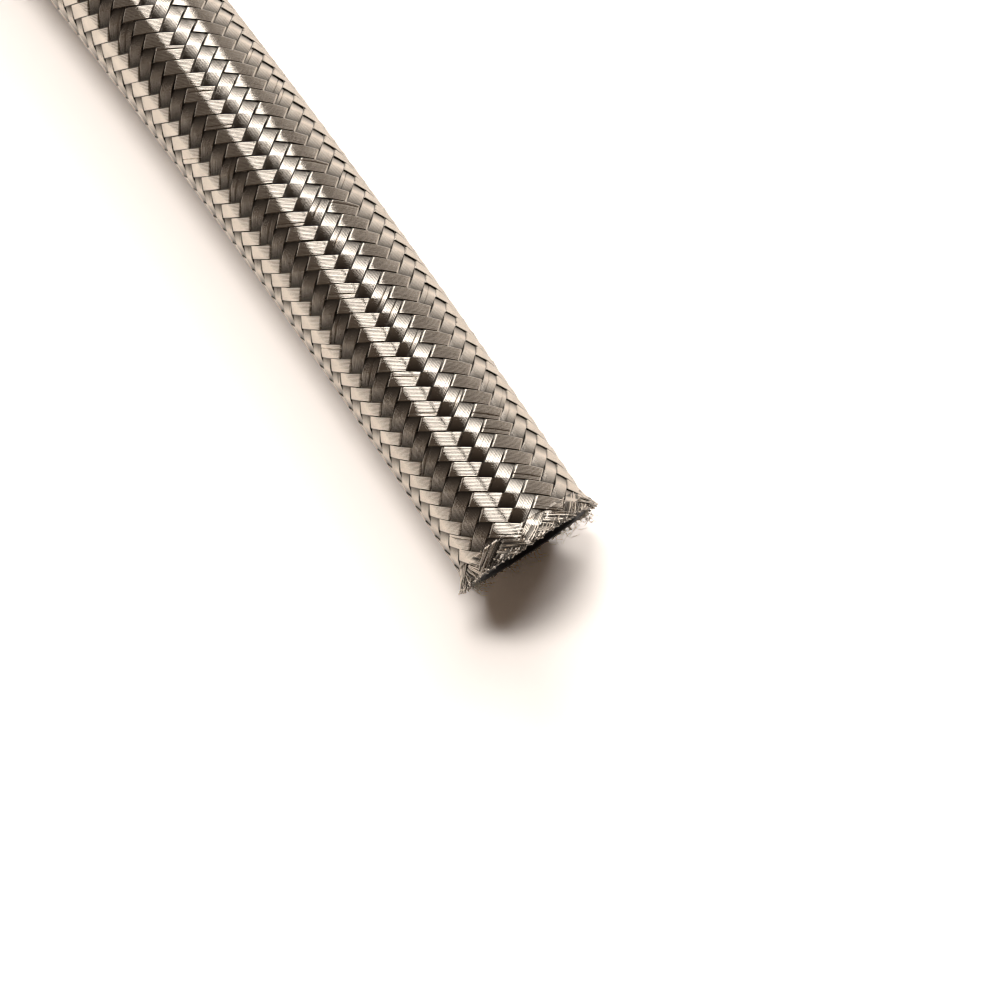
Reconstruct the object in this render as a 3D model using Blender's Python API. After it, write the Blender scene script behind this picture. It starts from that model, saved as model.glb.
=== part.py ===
# Wire-braided rubber hose, a 300 mm cut length lying on a flat surface.
# Three layers, one inside the next: a woven steel wire braid, a yarn ply and a rubber tube.
# Metres, +Z up. The hose runs along X with its frayed cut end at +X, and rests on Z = 0.

import math

import bmesh
import bpy
from mathutils import Vector

# Sizes of the hose and its rubber tube
hose_length = 0.300
bore_diameter = 0.0222
tube_wall = 0.00225
bend_radius = 1.80  # the gentle curve left in the hose by its reel

# Wire braid: strands of parallel wires wound both ways, each passing over two and under two
strand_pairs = 18  # strands wound each way
braid_angle = math.radians(55.0)  # between a strand and the hose
braid_turn = math.radians(-18.3)  # turns the pattern about the hose, from straight up
braid_thickness = 0.0007  # two strands on top of each other
hollow_depth = 0.0004  # of the corners between strands, below the highest wires

# Loose wires spring outwards at the cut end, except where the hose lies on them
flare_height = 0.0014
flare_length = 0.0045

# Yarn ply and the clearance between one layer and the next
ply_thickness = 0.0006
layer_clearance = 0.0003

smooth_stretches = 6  # straight stretches that follow the bend on the smooth skins
flare_stretches = 2  # and those that follow the flare inside the braid

# Worked out from the sizes above
bore_radius = bore_diameter / 2
tube_outer_radius = bore_radius + tube_wall
ply_inner_radius = tube_outer_radius + layer_clearance
ply_outer_radius = ply_inner_radius + ply_thickness
braid_inner_radius = ply_outer_radius + layer_clearance
outer_radius = braid_inner_radius + braid_thickness  # over the highest wires: 15.25 mm
steps_round = 2 * strand_pairs  # crossings of strands in one turn round the hose
step_width = 2 * math.pi * (outer_radius - braid_thickness / 2) / steps_round
weave_rows = round(hose_length * math.tan(braid_angle) / step_width)
merge_distance = braid_thickness / 100

# The bend lies flat, so the curved hose can't roll. Its box is centred on the origin.
half_bend = hose_length / (2 * bend_radius)
bend_rise = bend_radius * (1 - math.cos(half_bend))
centre_shift = (bend_rise - flare_height) / 2

# Distances along the hose of the rings of corners in each kind of skin
weave_stations = [hose_length * row / weave_rows for row in range(weave_rows + 1)]
bend_stations = [(hose_length - flare_length) * ring / smooth_stretches
                 for ring in range(smooth_stretches + 1)]
smooth_stations = bend_stations + [hose_length]
lining_stations = bend_stations + [hose_length - flare_length * (1 - ring / flare_stretches)
                                   for ring in range(1, flare_stretches + 1)]


def on_hose(angle, along, radius):
    """A point at that distance along the bent hose, turned from straight up towards +Y."""
    turned = along / bend_radius - half_bend
    outward = Vector((math.sin(turned), math.cos(turned), 0))
    centre = outward * bend_radius
    centre.y -= bend_radius * math.cos(half_bend) + centre_shift
    centre.z = outer_radius
    return centre + radius * (math.sin(angle) * outward + math.cos(angle) * Vector((0, 0, 1)))


def flare(angle, along):
    """How far the braid stands off at the cut end: all of it above, none where it is lain on."""
    nearness = max(0.0, 1 - (hose_length - along) / flare_length)
    return flare_height * nearness**2 * min(1.0, 1 + math.cos(angle))


def weave_radius(step, row, angle, along):
    """High where strands cross, at the even places of the grid, and low in the hollows between."""
    return outer_radius - hollow_depth * ((step + row) % 2) + flare(angle, along)


def braid_inner_skin(step, row, angle, along):
    return braid_inner_radius + flare(angle, along)


def round_skin(radius):
    """The same radius everywhere."""
    return lambda step, row, angle, along: radius


def crease_strands(bm, place):
    """Folds each square of the weave along the edge of a strand, or along its top inside a float.

    Strands that lean one way lie on top at steps 0 and 1 of every four, and the others at 2 and 3.
    """
    for face in list(bm.faces):
        corners = {place[v]: v for v in face.verts}
        step, row = min(corners)
        if row >= weave_rows:
            continue
        crossing = (step + row) % 2 == 0
        rising = step % 4 == 0 if crossing else step % 4 != 2
        ends = ((step, row), (step + 1, row + 1)) if rising else ((step + 1, row), (step, row + 1))
        bmesh.utils.face_split(face, corners[ends[0]], corners[ends[1]])


def wrap_wall(bm, rings, woven):
    """Wraps a flat grid into a closed wall: out along the outer skin and back along the inner.

    Each ring is its distance along the hose and its skin, which gives the radius at a corner.
    """
    size = 1.0
    grid = bmesh.ops.create_grid(bm, x_segments=steps_round, y_segments=len(rings), size=size)["verts"]
    place = {v: (round((v.co.x + size) / (2 * size) * steps_round),
                 round((v.co.y + size) / (2 * size) * len(rings))) for v in grid}
    if woven:
        crease_strands(bm, place)
    for v, (step, row) in place.items():
        row %= len(rings)
        along, skin = rings[row]
        angle = braid_turn + 2 * math.pi * step / steps_round
        v.co = on_hose(angle, along, skin(step, row, angle, along))
    bmesh.ops.remove_doubles(bm, verts=grid, dist=merge_distance)
    bmesh.ops.recalc_face_normals(bm, faces=bm.faces)


def add_layer(name, outer_skin, inner_skin, material, collection, woven=False):
    """One layer of the hose, square at both cut ends."""
    outer_stations = weave_stations if woven else smooth_stations
    inner_stations = lining_stations if woven else smooth_stations
    rings = [(along, outer_skin) for along in outer_stations]
    rings += [(along, inner_skin) for along in reversed(inner_stations)]
    bm = bmesh.new()
    wrap_wall(bm, rings, woven)
    mesh = bpy.data.meshes.new(name)
    bm.to_mesh(mesh)
    bm.free()
    mesh.materials.append(material)
    if not woven:
        mesh.shade_smooth()
        mesh.set_sharp_from_angle(angle=math.radians(40))
    layer = bpy.data.objects.new(name, mesh)
    collection.objects.link(layer)


def add_material(name, colour, metallic, roughness):
    material = bpy.data.materials.new(name)
    material.use_nodes = True
    shader = material.node_tree.nodes["Principled BSDF"]
    shader.inputs["Base Color"].default_value = (*colour, 1)
    shader.inputs["Metallic"].default_value = metallic
    shader.inputs["Roughness"].default_value = roughness
    return material


def build_hose():
    for old in list(bpy.data.objects):
        bpy.data.objects.remove(old)
    collection = bpy.data.collections.new("braided_hose")
    bpy.context.scene.collection.children.link(collection)
    steel = add_material("braid_steel", (0.60, 0.54, 0.47), 1.0, 0.25)
    yarn = add_material("ply_yarn", (0.10, 0.09, 0.08), 0.0, 0.9)
    rubber = add_material("tube_rubber", (0.012, 0.012, 0.012), 0.0, 0.6)

    add_layer("wire_braid", weave_radius, braid_inner_skin, steel, collection, woven=True)
    add_layer("yarn_ply", round_skin(ply_outer_radius), round_skin(ply_inner_radius), yarn, collection)
    add_layer("inner_tube", round_skin(tube_outer_radius), round_skin(bore_radius), rubber, collection)


build_hose()
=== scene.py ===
import math

import bmesh
import bpy
import numpy as np
from mathutils import Matrix, Vector


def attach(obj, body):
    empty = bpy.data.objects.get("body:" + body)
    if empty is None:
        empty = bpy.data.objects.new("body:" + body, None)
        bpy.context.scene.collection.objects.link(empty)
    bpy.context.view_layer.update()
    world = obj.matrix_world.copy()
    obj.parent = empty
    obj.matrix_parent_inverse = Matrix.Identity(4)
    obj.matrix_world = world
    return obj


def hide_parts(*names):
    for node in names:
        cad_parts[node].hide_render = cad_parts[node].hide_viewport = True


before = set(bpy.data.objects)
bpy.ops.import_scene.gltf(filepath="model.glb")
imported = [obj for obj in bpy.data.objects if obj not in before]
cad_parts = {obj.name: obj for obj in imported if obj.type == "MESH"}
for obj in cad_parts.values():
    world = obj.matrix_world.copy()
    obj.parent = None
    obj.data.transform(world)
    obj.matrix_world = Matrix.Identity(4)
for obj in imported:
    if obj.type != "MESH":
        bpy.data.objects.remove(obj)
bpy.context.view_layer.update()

# the hose as it was packed: a cut length with a gentle bend, lying flat, frayed cut end at +X
hose = {
    "length": 0.300,
    "bendRadius": 1.80,
    "boreRadius": 0.0111,
    "tubeRadius": 0.01335,
    "plyInside": 0.01365,
    "plyOutside": 0.01425,
    "braidInside": 0.01455,
    "braidOutside": 0.01525,
    "flareHeight": 0.0014,
    "flareLength": 0.0045,
}
halfBend = hose["length"] / (2 * hose["bendRadius"])
bendRise = hose["bendRadius"] * (1 - math.cos(halfBend))
centreShift = (bendRise - hose["flareHeight"]) / 2


def onHose(angle, along, radius):
    # angle turns from straight up towards +Y; takes single numbers or arrays
    turned = np.asarray(along, float) / hose["bendRadius"] - halfBend
    angle, turned, radius = np.broadcast_arrays(angle, turned, np.asarray(radius, float))
    reach = hose["bendRadius"] + radius * np.sin(angle)
    x = reach * np.sin(turned)
    y = reach * np.cos(turned) - hose["bendRadius"] * math.cos(halfBend) - centreShift
    z = hose["braidOutside"] + radius * np.cos(angle)
    return np.stack([x, y, z], axis=-1)


def flareAt(angle, along):
    # the braid springs open at the cut, but not where the hose lies on it
    nearness = np.clip(1 - (hose["length"] - along) / hose["flareLength"], 0, None)
    return hose["flareHeight"] * nearness**2 * np.minimum(1, 1 + np.cos(angle))


# Camera

view = {
    "turn": 52.15,        # degrees from +X to the picture's right
    "height": 83.0,       # degrees above the floor
    "distance": 0.289,    # from the middle of the cut end, measured straight ahead
    "focal": 1403.0,      # in pixels of the photograph
    "picture": 1000,      # pixels across the photograph
    "endPixel": (530.5, 547.7),  # where the middle of the cut end stands in the photograph
    "sensor": 36.0,       # millimetres
    "clip": (0.01, 20.0),
}


def placeCamera():
    turn, height = math.radians(view["turn"]), math.radians(view["height"])
    right = Vector((math.cos(turn), math.sin(turn), 0))
    back = Vector((math.sin(turn) * math.cos(height), -math.cos(turn) * math.cos(height),
                   math.sin(height)))
    up = back.cross(right)
    endMiddle = Vector(onHose(0, hose["length"], 0))
    half = view["picture"] / 2
    across = (view["endPixel"][0] - half) / view["focal"] * view["distance"]
    above = (half - view["endPixel"][1]) / view["focal"] * view["distance"]
    place = endMiddle - right * across - up * above + back * view["distance"]
    lens = bpy.data.cameras.new("camera")
    lens.sensor_width = view["sensor"]
    lens.lens = view["focal"] * view["sensor"] / view["picture"]
    lens.clip_start, lens.clip_end = view["clip"]
    camera = bpy.data.objects.new("camera", lens)
    turned = Matrix((right, up, back)).transposed().to_4x4()
    camera.matrix_world = Matrix.Translation(place) @ turned
    bpy.context.scene.collection.objects.link(camera)
    bpy.context.scene.camera = camera
    return right, up, back, endMiddle


right, up, back, endMiddle = placeCamera()
bpy.context.scene.view_settings.view_transform = "Standard"
print("camera placed")


# Materials

class Socket:
    def __init__(self, finish, socket):
        self.finish = finish
        self.socket = socket

    def maths(self, operation, first, second):
        return self.finish.add("ShaderNodeMath", {"operation": operation}, {0: first, 1: second})

    def __add__(self, other):
        return self.maths("ADD", self, other)

    __radd__ = __add__

    def __mul__(self, other):
        return self.maths("MULTIPLY", self, other)

    __rmul__ = __mul__


class Nodes:
    def __init__(self, owner):
        owner.use_nodes = True
        self.tree = owner.node_tree

    def add(self, kind, settings=None, inputs=None, output=0):
        # one node: its settings first, then the values or links of its sockets
        node = self.tree.nodes.new(kind)
        for setting, value in (settings or {}).items():
            if setting == "stops":
                for stop, (place, colour) in zip(node.color_ramp.elements, value):
                    stop.position = place
                    stop.color = (*colour, 1)
            else:
                setattr(node, setting, value)
        for socket, value in (inputs or {}).items():
            self.feed(node.inputs[socket], value)
        return Socket(self, node.outputs[output])

    def feed(self, socket, value):
        if isinstance(value, Socket):
            self.tree.links.new(value.socket, socket)
        else:
            socket.default_value = value

    def mixShaders(self, share, others, chosen):
        return self.add("ShaderNodeMixShader", inputs={0: share, 1: others, 2: chosen})

    def ray(self, kind):
        return self.add("ShaderNodeLightPath", output=kind)

    def mirroredRay(self):
        return self.ray("Is Glossy Ray") + self.ray("Is Transmission Ray")


class Finish(Nodes):
    def __init__(self, name, constants=None):
        self.material = bpy.data.materials.new(name)
        super().__init__(self.material)
        self.shader = self.tree.nodes["Principled BSDF"]
        for socket, value in (constants or {}).items():
            self.set(socket, value)

    def set(self, socket, value):
        self.feed(self.shader.inputs[socket], value)

    def noise(self, scale, detail):
        place = self.add("ShaderNodeTexCoord", output="Object")
        return self.add("ShaderNodeTexNoise", inputs={"Vector": place, "Scale": scale,
                        "Detail": detail}, output="Fac")

    def mixColours(self, share, others, chosen):
        return self.add("ShaderNodeMix", {"data_type": "RGBA"}, {0: share, 6: others, 7: chosen},
                        output=2)

    def ramp(self, factor, stops):
        return self.add("ShaderNodeValToRGB", {"stops": stops}, {"Fac": factor}, output="Color")


# a noise is given by its scale, per metre, and its detail; tones are colours at two of its values
steelLook = {
    "patches": (420, 2),       # each few wires differ a little
    "streaks": (3800, 2),      # fine marks of drawing
    "patchShare": 0.7,         # of the tone; the streaks give the rest
    "tones": [(0.3, (0.57, 0.505, 0.435)), (0.7, (0.71, 0.635, 0.55))],
    # the dark colour of the painted shade between the floats, and of the soot on some loose wires
    "shadeAndSootTone": (0.02, 0.017, 0.014, 1),
    "roughness": (0.07, 0.06),   # at least, and how much more the patches add
}
rubberLook = {
    "grain": (2600, 4),
    "tones": [(0.35, (0.006, 0.0055, 0.005)), (0.75, (0.022, 0.02, 0.019))],
    "roughness": (0.55, 0.25),   # at least, and how much more the grain adds
    "specular": 0.35,
    "bump": (0.5, 0.0001),       # strength and depth
}
yarnLook = {
    "fibres": (5000, 3),
    "gummed": [(0.3, (0.05, 0.043, 0.034)), (0.7, (0.16, 0.14, 0.11))],
    "pale": [(0.3, (0.42, 0.36, 0.27)), (0.7, (0.66, 0.60, 0.49))],
    "roughness": 0.9,
    "sheen": 0.2,
}


def steelFinish():
    steel = Finish("drawnSteel", {"Metallic": 1.0})
    patches = steel.noise(*steelLook["patches"])
    streaks = steel.noise(*steelLook["streaks"])
    share = steelLook["patchShare"]
    bright = steel.ramp(patches * share + streaks * (1 - share), steelLook["tones"])
    # painted shade on the braid, where strands run under others, and soot on some loose wires darken
    # the base colour
    shadeAndSoot = steel.add("ShaderNodeAttribute", {"attribute_name": "shadeAndSoot"}, output="Fac")
    steel.set("Base Color", steel.mixColours(shadeAndSoot, bright, steelLook["shadeAndSootTone"]))
    least, more = steelLook["roughness"]
    steel.set("Roughness", least + patches * more)
    return steel.material


def rubberFinish():
    rubber = Finish("blackRubber", {"Specular IOR Level": rubberLook["specular"]})
    grain = rubber.noise(*rubberLook["grain"])
    rubber.set("Base Color", rubber.ramp(grain, rubberLook["tones"]))
    least, more = rubberLook["roughness"]
    rubber.set("Roughness", least + grain * more)
    strength, depth = rubberLook["bump"]
    rubber.set("Normal", rubber.add("ShaderNodeBump", inputs={"Strength": strength,
                                    "Distance": depth, "Height": grain}))
    return rubber.material


def yarnFinish(name, tones):
    yarn = Finish(name, {"Roughness": yarnLook["roughness"], "Sheen Weight": yarnLook["sheen"]})
    yarn.set("Base Color", yarn.ramp(yarn.noise(*yarnLook["fibres"]), tones))
    return yarn.material


steelMaterial, rubberMaterial = steelFinish(), rubberFinish()
plyMaterial = yarnFinish("gummedYarn", yarnLook["gummed"])
fluffMaterial = yarnFinish("paleYarn", yarnLook["pale"])
print("materials made")


# Shared by the pieces

sharpAngle = math.radians(35)
mergeWithin = {"wall": 0.000001, "strand": 0.0000005, "unitThread": 0.0001}


def meshFrom(bm, name):
    mesh = bpy.data.meshes.new(name)
    bm.to_mesh(mesh)
    bm.free()
    return mesh


def readCorners(mesh):
    flat = np.empty(len(mesh.vertices) * 3, np.float32)
    mesh.vertices.foreach_get("co", flat)
    return flat.reshape(-1, 3).T


def writeCorners(mesh, placed):
    mesh.vertices.foreach_set("co", placed.astype(np.float32).ravel())


# a darkness for the steel's base colour: painted shade on the braid, soot on loose wires
def addShadeAndSoot(mesh, darkness):
    shadeAndSoot = mesh.attributes.new("shadeAndSoot", "FLOAT", "POINT")
    shadeAndSoot.data.foreach_set("value", darkness.astype(np.float32))


def finishPiece(name, mesh, material):
    mesh.materials.append(material)
    piece = bpy.data.objects.new(name, mesh)
    bpy.context.scene.collection.objects.link(piece)
    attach(piece, "root")
    return piece


def wallMesh(name, inside, outside, layer):
    # a closed wall from one grid: out along the outer skin and back along the inner one
    bm = bmesh.new()
    rings = 2 * (layer["stepsAlong"] + 1)
    bmesh.ops.create_grid(bm, x_segments=layer["stepsRound"], y_segments=rings, size=0.5)
    for v in bm.verts:
        ring = round((v.co.y + 0.5) * rings) % rings
        outer = ring <= layer["stepsAlong"]
        along = ring if outer else rings - 1 - ring
        place = onHose(2 * math.pi * (v.co.x + 0.5), hose["length"] * along / layer["stepsAlong"],
                       outside if outer else inside)
        v.co = Vector(place)
    bmesh.ops.remove_doubles(bm, verts=bm.verts, dist=mergeWithin["wall"])
    bmesh.ops.recalc_face_normals(bm, faces=bm.faces)
    if layer["rimRounding"]:
        rims = [e for e in bm.edges if e.calc_face_angle(0) > sharpAngle]
        bmesh.ops.bevel(bm, geom=rims, offset=layer["rimRounding"], affect="EDGES", segments=2,
                        profile=0.5, material=-1)
    mesh = meshFrom(bm, name)
    mesh.shade_smooth()
    mesh.set_sharp_from_angle(angle=sharpAngle)
    return mesh


# Rubber tube: the hose itself, a free length with both ends bare

tube = {
    "stepsRound": 128,
    "stepsAlong": 60,
    "rimRounding": 0.00012,
}


def makeTube():
    mesh = wallMesh("rubberTube", hose["boreRadius"], hose["tubeRadius"], tube)
    piece = finishPiece("rubberTube", mesh, rubberMaterial)
    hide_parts("inner_tube")
    return piece


rubberTube = makeTube()
print("rubber tube made")


# Yarn ply under the wire

ply = {
    "stepsRound": 128,
    "stepsAlong": 60,
    "rimRounding": 0,
}


def makePly():
    mesh = wallMesh("yarnLayer", hose["plyInside"], hose["plyOutside"], ply)
    piece = finishPiece("yarnLayer", mesh, plyMaterial)
    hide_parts("yarn_ply")
    return piece


yarnLayer = makePly()
print("yarn ply made")


# Wire braid: 18 strands wound each way, each of ten wires, over two and under two. Heights are
# above the braid's inside. A crossing is the way along a strand from one strand of the other
# direction to the next, and a strand pitch is the width that each strand has to itself.

braid = {
    "strandsEachWay": 18,
    "rows": 165,              # crossings from end to end of the hose
    "turn": -17.3,            # degrees from straight up to the pattern's first column
    "wiresInStrand": 10,
    "wire": 0.0003,
    "lowHeight": 0.00016,     # middle of a strand that runs under
    "highHeight": 0.00054,    # and of one that runs over
    "crown": 0.00015,         # top of a wire above the strand's middle
    "valley": 0.00008,        # bottom of the furrow between two wires, above it too
    "fill": (0.90, 0.945),    # part of its pitch that a strand fills
    "underside": 1.6,         # columns of corners from its edges to where its underside begins
    "dip": (0.88, 0.16),      # crossings from a float's middle to the dip, and the dip's length
    "bow": 0.00008,           # how far a float's ends droop below its middle
    "wander": 0.04,           # sideways, in wire widths
    "sink": 0.000002,         # how much lower a wire may lie than its neighbours
    "roll": 0.00005,          # how much higher one edge of a strand may lie than the other
    "crook": 0.012,           # sideways drift of a whole strand, in strand pitches
    "knots": 100,             # of the random values along a strand
    "knotSpacing": 2,         # crossings
    "splitPart": 0.16,        # share of floats whose wires have parted
    "splitWidth": 0.03,       # how far each side moves, in strand pitches
    "splitDepth": 0.00026,
    "splitReach": 1.25,       # crossings from the float's middle
    "splitSlope": 2,          # it is at full depth where it is open by one part in this
    "shadeAndSoot": 0.9,             # how dark the painted shade makes what runs between the floats
    "shadeFade": (1.25, 1.9),    # the painted shade where a strand runs under a float, and how much less of it there is on top
    "endsAt": (0.2970, 0.2988),  # each strand is cut between these, and goes on as loose wires
    "strandsInPiece": 6,
    "seed": 11,
}
arcRadius = hose["braidInside"] + (hose["braidOutside"] - hose["braidInside"]) / 2
stepWidth = 2 * math.pi * arcRadius / (2 * braid["strandsEachWay"])
rowHeight = hose["length"] / braid["rows"]
patternTurn = math.radians(braid["turn"]) * arcRadius
weaveRepeat = 4    # crossings
floatMiddle = 0.5  # the first float lies over crossings 0 and 1
# places along a strand within one repeat, in crossings from the middle of a float
stations = (-1.04, -0.98, -0.92, -0.88, -0.83, 0.0, 0.83, 0.88, 0.92, 0.98, 1.04, 2.0)
repeats = braid["rows"] // weaveRepeat + 3
columns = 2 * braid["wiresInStrand"] + 3


def strandTemplate():
    # a flat strip: its even columns are the tops of wires and its odd ones furrows, but the first
    # and the last two run underneath and close it; furrows and edges stay sharp
    bm = bmesh.new()
    rows = len(stations) * repeats
    bmesh.ops.create_grid(bm, x_segments=columns, y_segments=rows, size=0.5)
    place = {}
    for v in bm.verts:
        place[v] = (round((v.co.x + 0.5) * columns), round((v.co.y + 0.5) * rows))
        v.co = (*place[v], 0)
    for e in bm.edges:
        (a, _), (b, _) = (place[v] for v in e.verts)
        e.smooth = not (a == b and (a % 2 == 1 or a in (0, columns - 1)))
    mesh = meshFrom(bm, "strandTemplate")
    mesh.shade_smooth()
    return mesh


def smoothNoise(draws, spread, place):
    # random values along a strand, eased from one knot to the next
    knots = draws.normal(0, spread, braid["knots"] + 3)
    at = np.clip(place / braid["knotSpacing"], 0, braid["knots"])
    low = np.floor(at).astype(int)
    part = at - low
    part = part * part * (3 - 2 * part)
    return knots[low] * (1 - part) + knots[low + 1] * part


def floatPhase(crossing, number, rising):
    # how many crossings a place is past the middle of a float
    if rising:
        return crossing - floatMiddle
    return 2 * number - crossing - (weaveRepeat / 2 + floatMiddle)


def overUnder(fromFloat):
    # 1 over a float, 0 under the next, with a steep dip between them
    away = np.abs((fromFloat + weaveRepeat / 2) % weaveRepeat - weaveRepeat / 2)
    start, length = braid["dip"]
    return away, 0.5 + 0.5 * np.cos(math.pi * np.clip((away - start) / length, 0, 1))


def shapeStrand(template, number, rising, draws):
    mesh = template.copy()
    column, row = np.rint(readCorners(mesh)[:2]).astype(int)
    middle = (columns - 1) / 2
    wires = braid["wiresInStrand"]
    pitch = draws.uniform(*braid["fill"]) / wires

    # sideways place in the strand, in strand pitches, and height across the wires
    top = (column >= 1) & (column <= columns - 2)
    isCrown = top & (column % 2 == 0)
    side = (column - middle) / 2 * pitch
    height = np.where(isCrown, braid["crown"], braid["valley"])
    side = np.where(column % columns == 0, (braid["underside"] - middle) / 2 * pitch, side)
    side = np.where(column == columns - 1,
                    (columns - 1 - braid["underside"] - middle) / 2 * pitch, side)
    height = np.where(top, height, -braid["crown"])

    # stations along it, in crossings, from before the hose's plain end
    reach = np.array(stations)[row % len(stations)] + weaveRepeat * (row // len(stations))
    if rising:
        start = weaveRepeat * math.floor((2 * number - weaveRepeat) / weaveRepeat) + floatMiddle
    else:
        start = (2 * number) % weaveRepeat - weaveRepeat + floatMiddle
    along = start + reach
    fromFloat = floatPhase(along, number, rising)

    # wires wander a little, some lie lower than their neighbours, and floats sit slightly turned
    place = along - along.min()
    wander, sink = np.zeros(len(place)), np.zeros(len(place))
    for each in range(1, columns - 1):
        own = column == each
        wander[own] = smoothNoise(draws, braid["wander"] * pitch, place[own])
        sink[own] = smoothNoise(draws, braid["sink"], place[own])
    roll = smoothNoise(draws, braid["roll"], place)
    crook = smoothNoise(draws, braid["crook"], place)
    height = height + np.where(isCrown, -np.abs(sink), -2 * np.abs(sink)) * top + roll * side
    away, over = overUnder(fromFloat)
    height = height - over * braid["bow"] * np.minimum(away, 1)**2
    height = height + braid["lowHeight"] + over * (braid["highHeight"] - braid["lowHeight"])
    side = side + np.where(top, wander, 0) + crook

    # some floats have parted along a furrow
    floatNumber = np.floor((fromFloat + weaveRepeat / 2) / weaveRepeat)
    for own in np.unique(floatNumber):
        if draws.random() < braid["splitPart"]:
            furrow = 2 * draws.integers(2, wires - 1) + 1
            opened = np.where(floatNumber == own, np.clip(braid["splitReach"] - away, 0, 1), 0) * top
            depth = np.where(column == furrow, braid["splitDepth"], 0)
            side = side + np.sign(column - furrow) * braid["splitWidth"] * opened
            height = height - depth * np.minimum(1, braid["splitSlope"] * opened)

    step = along + side if rising else 2 * number + side - along
    rowPlace = along - 2 * number - side if rising else along + side
    placed = np.stack([step * stepWidth + patternTurn, rowPlace * rowHeight, height], axis=-1)
    writeCorners(mesh, placed)
    # painted shade: where a strand runs under the others its colour is darkened
    under, less = braid["shadeFade"]
    addShadeAndSoot(mesh, braid["shadeAndSoot"] * np.clip(under - less * over, 0, 1))
    mesh.update()
    return mesh


def cutSquare(mesh, endAt):
    # both ends of a strand, cut across the hose while it is still flat
    bm = bmesh.new()
    bm.from_mesh(mesh)
    bmesh.ops.remove_doubles(bm, verts=bm.verts, dist=mergeWithin["strand"])
    for place, outwards in ((0, -1), (endAt, 1)):
        everything = bm.verts[:] + bm.edges[:] + bm.faces[:]
        cut = bmesh.ops.bisect_plane(bm, geom=everything, plane_co=(0, place, 0),
                                     plane_no=(0, outwards, 0), clear_outer=True)["geom_cut"]
        rim = [e for e in cut if isinstance(e, bmesh.types.BMEdge)]
        bmesh.ops.holes_fill(bm, edges=rim, sides=0)
    bm.to_mesh(mesh)
    bm.free()


def wrapRound(mesh):
    # the flat strand has x round the hose, y along it and z outwards from the braid's inside
    x, y, z = readCorners(mesh).astype(float)
    angle = x / arcRadius
    placed = onHose(angle, y, hose["braidInside"] + z + flareAt(angle, y))
    placed[:, 2] = np.maximum(placed[:, 2], 0)  # it lies on the floor
    writeCorners(mesh, placed)
    mesh.flip_normals()  # x, y and z turn the other way once they are round the hose
    mesh.update()


def makeBraid():
    template = strandTemplate()
    draws = np.random.default_rng(braid["seed"])
    pieces = []
    for way, rising in (("Right", True), ("Left", False)):
        for first in range(0, braid["strandsEachWay"], braid["strandsInPiece"]):
            joined = bmesh.new()
            for number in range(first, first + braid["strandsInPiece"]):
                mesh = shapeStrand(template, number, rising, draws)
                cutSquare(mesh, draws.uniform(*braid["endsAt"]))
                wrapRound(mesh)
                joined.from_mesh(mesh)
                bpy.data.meshes.remove(mesh)
            name = f"strands{way}{first // braid['strandsInPiece'] + 1}"
            pieces.append(finishPiece(name, meshFrom(joined, name), steelMaterial))
    bpy.data.meshes.remove(template)
    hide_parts("wire_braid")
    return pieces


strandPieces = makeBraid()
print("braid made of", len(strandPieces), "pieces")


# Loose wires at the cut end: looseness grows from 0, where the first strands are cut, to nearly 1
# at the hose's end, and the wires stray more and more

fray = {
    "sides": 6,
    "stepsAlong": 9,
    "startsBefore": 0.0011,       # inside the place where the first strands are cut
    "heldFor": 0.0004,            # beyond that place
    "endsAt": (0.2996, 0.3003),
    "overhang": 0.0004,           # of the topmost wires beyond the others
    "leftFlare": 0.6,             # extra flare at the picture's left, as a share of the braid's own
    "lower": 0.00003,             # than the strand's middle
    "lowest": 0.00005,            # above the braid's inside
    "splay": 0.0003,              # sideways spread of a strand's wires as one bundle
    "stray": 0.00022,             # and of each wire by itself
    "strayGrowth": (1.5, 0.6),    # power of the looseness, and where that makes them stray so far
    "bundleLift": (-0.00018, 0.0003),
    "lift": 0.0003,               # of each wire by itself
    "liftGrowth": 1.2,            # power of the looseness
    "sooty": (0.45, 0.5, 0.95),   # share of wires that are dirty, and how dark they are
    "hookedPart": 0.12,           # share of wires with a hooked tip
    "hookFrom": 0.6,              # share of a wire's length before its hook
    "hookTurn": (2.0, 4.5),       # radians
    "hookSize": (0.00025, 0.0005),
    "kink": 0.00005,
    "kinkGrowth": 3,              # kinks are at full size where looseness is one part in this
    "upwards": 0.6,               # of a hook or kink, compared with sideways
    "seed": 5,
}
oddDirection = (0.31, 0.22, 0.93)  # no thread runs along this


def threadTemplate(sides, steps):
    # a thread of unit radius, closed at both ends, with its place along it as z
    bm = bmesh.new()
    bmesh.ops.create_grid(bm, x_segments=sides, y_segments=steps, size=0.5)
    for v in bm.verts:
        turned, along = 2 * math.pi * (v.co.x + 0.5), v.co.y + 0.5
        v.co = (math.cos(turned), math.sin(turned), along)
    bmesh.ops.remove_doubles(bm, verts=bm.verts, dist=mergeWithin["unitThread"])
    bmesh.ops.holes_fill(bm, edges=[e for e in bm.edges if e.is_boundary], sides=0)
    bmesh.ops.recalc_face_normals(bm, faces=bm.faces)
    mesh = meshFrom(bm, "threadTemplate")
    mesh.shade_smooth()
    return mesh


def layThread(template, path, radius):
    # lays the template along a path given as points, one for each of its rings
    mesh = template.copy()
    a, b, along = readCorners(mesh).astype(float)
    ring = np.rint(along * (len(path) - 1)).astype(int)
    ahead = np.gradient(path, axis=0)
    ahead /= np.linalg.norm(ahead, axis=1, keepdims=True)
    sideways = np.cross(ahead, oddDirection)
    sideways /= np.linalg.norm(sideways, axis=1, keepdims=True)
    upwards = np.cross(ahead, sideways)
    placed = path[ring] + radius * (a[:, None] * sideways[ring] + b[:, None] * upwards[ring])
    writeCorners(mesh, placed)
    mesh.update()
    return mesh


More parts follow.
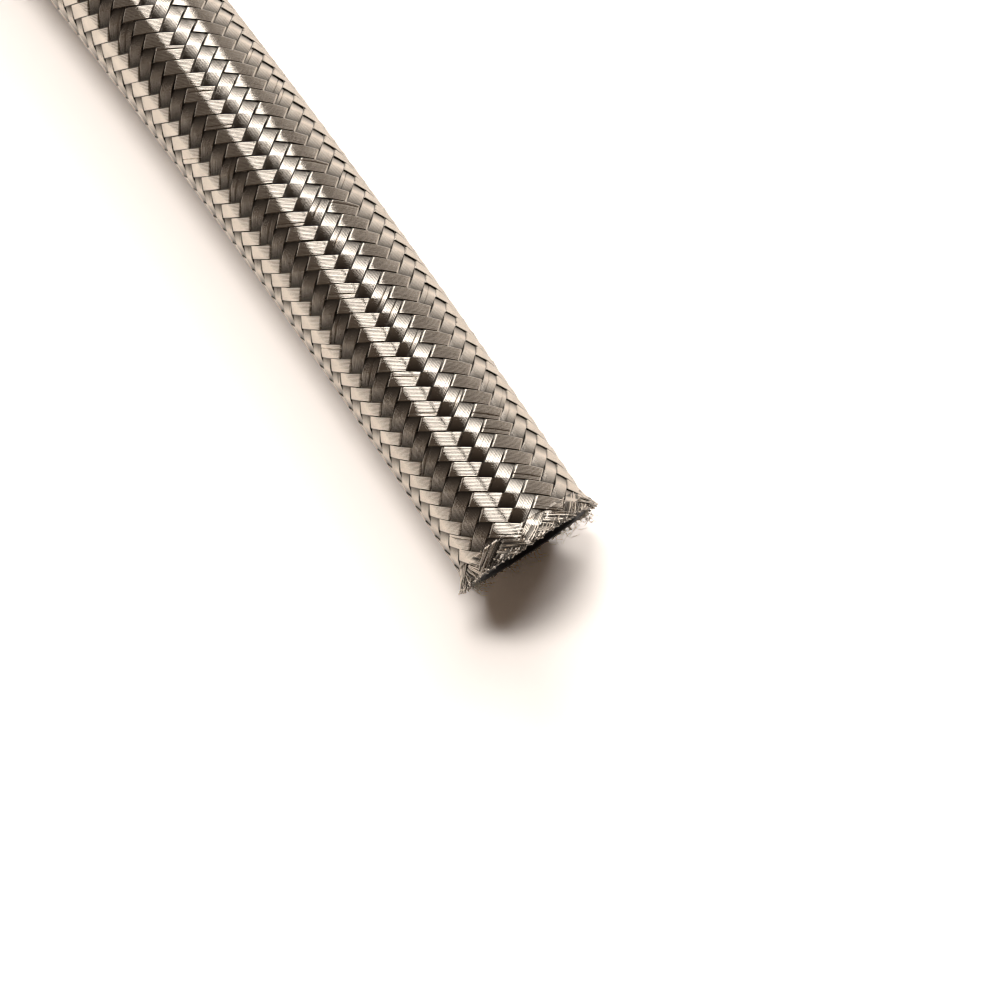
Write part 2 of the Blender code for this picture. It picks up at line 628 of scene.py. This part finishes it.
def joinThreads(name, meshes, material):
    joined = bmesh.new()
    for mesh in meshes:
        joined.from_mesh(mesh)
        bpy.data.meshes.remove(mesh)
    bmesh.ops.recalc_face_normals(joined, faces=joined.faces)
    return finishPiece(name, meshFrom(joined, name), material)


def looseWire(template, number, wireNumber, rising, splay, draws):
    # x is measured round the hose and height outwards from the braid's inside, as on a flat strand
    steps = fray["stepsAlong"]
    t = np.linspace(0, 1, steps + 1)
    wires = braid["wiresInStrand"]
    firstCut = braid["endsAt"][0]
    start = firstCut - fray["startsBefore"]
    side = (wireNumber - (wires - 1) / 2) * braid["fill"][0] / wires
    way = 1 if rising else -1
    atPlainEnd = 2 * number + 2 * side
    endX = (atPlainEnd + way * hose["length"] / rowHeight) * stepWidth + patternTurn
    overhang = fray["overhang"] * max(0, math.cos(endX / arcRadius)) ** 2
    along = start + (draws.uniform(*fray["endsAt"]) + overhang - start) * t
    rowsAlong = along / rowHeight
    x = (atPlainEnd + way * rowsAlong) * stepWidth + patternTurn
    crossing = rowsAlong + 2 * number + side if rising else rowsAlong - side
    away, over = overUnder(floatPhase(crossing, number, rising))
    height = braid["lowHeight"] + over * (braid["highHeight"] - braid["lowHeight"]) - fray["lower"]

    # it strays once it is loose
    loose = (along - (firstCut + fray["heldFor"])) / (hose["length"] - firstCut)
    loose = np.clip(loose, 0, None)
    power, reached = fray["strayGrowth"]
    x = x + (splay[0] + draws.normal(0, fray["stray"])) * loose**power / reached
    height = height + (splay[1] + draws.normal(0, fray["lift"])) * loose**fray["liftGrowth"]
    height = np.maximum(height, fray["lowest"])
    if draws.random() < fray["hookedPart"]:
        hook = np.clip((t - fray["hookFrom"]) / (1 - fray["hookFrom"]), 0, 1)
        hook = hook * draws.uniform(*fray["hookTurn"])
        size = draws.uniform(*fray["hookSize"])
        x = x + size * np.sin(hook) * draws.choice((-1, 1))
        height = height + fray["upwards"] * size * (1 - np.cos(hook))
    kinks = np.cumsum(draws.normal(0, fray["kink"], (2, steps + 1)), axis=1)
    kinks = kinks * np.minimum(1, loose * fray["kinkGrowth"])
    x, height = x + kinks[0], np.maximum(height + fray["upwards"] * kinks[1], fray["lowest"])

    angle = x / arcRadius
    flare = flareAt(angle, np.minimum(along, hose["length"]))
    flare = flare * (1 - fray["leftFlare"] * np.minimum(0, np.sin(angle)))
    points = onHose(angle, along, hose["braidInside"] + height + flare)
    points[:, 2] = np.maximum(points[:, 2], braid["wire"] / 2)  # it lies on the floor
    mesh = layThread(template, points, braid["wire"] / 2)
    share, low, high = fray["sooty"]
    darkness = draws.uniform(low, high) if draws.random() < share else 0.0
    addShadeAndSoot(mesh, np.full(len(mesh.vertices), darkness))
    return mesh


def makeLooseWires():
    template = threadTemplate(fray["sides"], fray["stepsAlong"])
    draws = np.random.default_rng(fray["seed"])
    meshes = []
    for rising in (True, False):
        for number in range(braid["strandsEachWay"]):
            splay = (draws.normal(0, fray["splay"]), draws.uniform(*fray["bundleLift"]))
            for wireNumber in range(braid["wiresInStrand"]):
                meshes.append(looseWire(template, number, wireNumber, rising, splay, draws))
    bpy.data.meshes.remove(template)
    return joinThreads("looseWires", meshes, steelMaterial)


looseWires = makeLooseWires()
print("loose wires made")


# Curly yarn fibres that stick out of the ply at the cut. Shares are of a fibre's reach.

fluff = {
    "count": 120,
    "between": (0.36 * math.pi, 1.64 * math.pi),  # round the hose, with the top left bare
    "sides": 4,
    "stepsAlong": 14,
    "thickness": 0.0001,
    "startsBefore": 0.0008,     # inside the cut
    "reach": (0.001, 0.0048),
    "forwards": 0.75,           # share that goes along the hose
    "outwards": (-0.5, 0.35),   # and away from it
    "swing": (0.2, 0.5),        # share of the curl that goes round the hose
    "nod": 0.12,                # along it
    "rise": 0.3,                # and away from it
    "phase": (0, 6.3),          # radians
    "curl": (3, 8),             # radians from root to tip
    "drift": 0.05,              # radians round the hose
    "seed": 8,
}


def makeFluff():
    template = threadTemplate(fluff["sides"], fluff["stepsAlong"])
    draws = np.random.default_rng(fluff["seed"])
    t = np.linspace(0, 1, fluff["stepsAlong"] + 1)
    start = hose["length"] - fluff["startsBefore"]
    middle = (hose["plyInside"] + hose["plyOutside"]) / 2
    meshes = []
    for _ in range(fluff["count"]):
        root, reach, swing, phase, curl = (draws.uniform(*fluff[value]) for value in
                                           ("between", "reach", "swing", "phase", "curl"))
        turned = curl * t + phase
        along = start + reach * (fluff["forwards"] * t + fluff["nod"] * np.sin(turned))
        angle = root + draws.normal(0, fluff["drift"]) * t
        angle = angle + swing * reach * np.cos(turned) * t / hose["plyOutside"]
        rise = fluff["rise"] * np.sin(curl * t + 2 * phase) * t
        radius = middle + reach * t * (draws.uniform(*fluff["outwards"]) + rise)
        points = onHose(angle, along, radius)
        points[:, 2] = np.maximum(points[:, 2], fluff["thickness"])
        meshes.append(layThread(template, points, fluff["thickness"] / 2))
    bpy.data.meshes.remove(template)
    return joinThreads("yarnFluff", meshes, fluffMaterial)


yarnFluff = makeFluff()
print("yarn fluff made")


# The whole hose is one free length: its line, from the plain end to the frayed one

lineSteps = 30
linePoints = [tuple(onHose(0, hose["length"] * i / lineSteps, 0)) for i in range(lineSteps + 1)]


# Studio: an overexposed pale floor, a dim room with pale walls, and soft lamps towards the top of
# the picture

studio = {
    "floorSize": 14.0,
    "floorTone": (0.82, 0.79, 0.75),
    "floorExposed": (1.44, 1.33, 1.24),  # the same floor as the camera sees it, brighter than white
    "mirroredShare": 0.35,     # of that exposure in what the metal mirrors
    "roomTone": (0.09, 0.07, 0.055),
    "wallTone": (0.99, 0.96, 0.93),
    "wallLight": (0.8, 0.5),   # in the middle, and how much more at the picture's right
    "wallAxis": (9.0, -16.6),  # the middle of the dark side, given like the panels below
    "wallEdge": (78.0, 87.0),  # the pale walls fade in between these angles from it
    "distance": 5.0,           # of the lamps from the cut end
}
# degrees right of the camera and towards the top of the picture, as seen from the cut end, and
# radiance; the panels are what the wires mirror, the key lamps give the shadow
panels = {
    "leftPanel": ((-27.2, -11.8), (29.0, 58.0), 5.0),
    "mainPanel": ((-9.0, 18.5), (28.2, 58.0), 5.0),
    "farPanel": ((-12.0, 17.0), (62.0, 70.0), 5.6),
}
keyLamps = {
    "highLamp": ((-25.5, 2.0), (25.8, 35.3), 23.5),
    "lowLamp": ((-34.0, 35.0), (62.0, 73.0), 17.0),
}


def makeFloor():
    finish = Finish("paleFloor")
    plain = finish.add("ShaderNodeBsdfDiffuse", inputs={"Color": (*studio["floorTone"], 1)})
    bright = finish.add("ShaderNodeBsdfDiffuse", inputs={"Color": (*studio["floorExposed"], 1)})
    shown = finish.ray("Is Camera Ray") + finish.mirroredRay() * studio["mirroredShare"]
    finish.feed(finish.tree.nodes["Material Output"].inputs["Surface"],
                finish.mixShaders(shown, plain, bright))
    bm = bmesh.new()
    bmesh.ops.create_grid(bm, x_segments=1, y_segments=1, size=studio["floorSize"] / 2)
    mesh = meshFrom(bm, "floor")
    mesh.materials.append(finish.material)
    floor = bpy.data.objects.new("floor", mesh)
    bpy.context.scene.collection.objects.link(floor)


def fromEnd(sideways, upwards):
    # a direction seen from the cut end, in degrees from the line to the camera
    a, b = math.radians(sideways), math.radians(upwards)
    return (back * math.cos(b) + up * math.sin(b)) * math.cos(a) + right * math.sin(a)


def makePanel(name, sides, ends, radiance):
    distance = studio["distance"]
    towards = fromEnd(sum(sides) / 2, sum(ends) / 2)
    width = 2 * distance * math.tan(math.radians(sides[1] - sides[0]) / 2)
    height = 2 * distance * math.tan(math.radians(ends[1] - ends[0]) / 2)
    lamp = bpy.data.lights.new(name, "AREA")
    lamp.shape = "RECTANGLE"
    lamp.size = width
    lamp.size_y = height
    lamp.energy = radiance * math.pi * width * height
    panel = bpy.data.objects.new(name, lamp)
    lengthwise = towards.cross(right).normalized()
    across = lengthwise.cross(towards).normalized()
    turned = Matrix((across, lengthwise, towards)).transposed().to_4x4()
    panel.matrix_world = Matrix.Translation(endMiddle + towards * distance) @ turned
    panel.visible_camera = False
    bpy.context.scene.collection.objects.link(panel)
    return panel


def makeRoom():
    # mirrored rays meet a dark side around the camera and pale walls beyond it, the camera sees
    # only pale walls, and all other rays meet the dim tone
    world = bpy.data.worlds.new("room")
    room = Nodes(world)
    direction = room.add("ShaderNodeTexCoord", output="Generated")
    away = room.add("ShaderNodeVectorMath", {"operation": "DOT_PRODUCT"},
                    {0: direction, 1: fromEnd(*studio["wallAxis"])}, output="Value")
    sideways = room.add("ShaderNodeVectorMath", {"operation": "DOT_PRODUCT"},
                        {0: direction, 1: right}, output="Value")
    start, end = (math.cos(math.radians(edge)) for edge in studio["wallEdge"])
    walled = room.add("ShaderNodeMapRange", {"clamp": True}, {"Value": away, "From Min": start,
                      "From Max": end, "To Min": 0.0, "To Max": 1.0}, output="Result")
    middle, more = studio["wallLight"]
    dim = room.add("ShaderNodeBackground", inputs={"Color": (*studio["roomTone"], 1)})
    walls = room.add("ShaderNodeBackground", inputs={"Color": (*studio["wallTone"], 1),
                     "Strength": middle + sideways * more})
    pale = room.add("ShaderNodeBackground", inputs={"Color": (*studio["wallTone"], 1)})
    seen = room.mixShaders(room.mirroredRay() * walled, dim, walls)
    room.feed(room.tree.nodes["World Output"].inputs["Surface"],
              room.mixShaders(room.ray("Is Camera Ray"), seen, pale))
    bpy.context.scene.world = world


makeFloor()
for name, lamp in panels.items():
    makePanel(name, *lamp).visible_diffuse = False
for name, lamp in keyLamps.items():
    makePanel(name, *lamp).visible_glossy = False
makeRoom()
print("studio made")
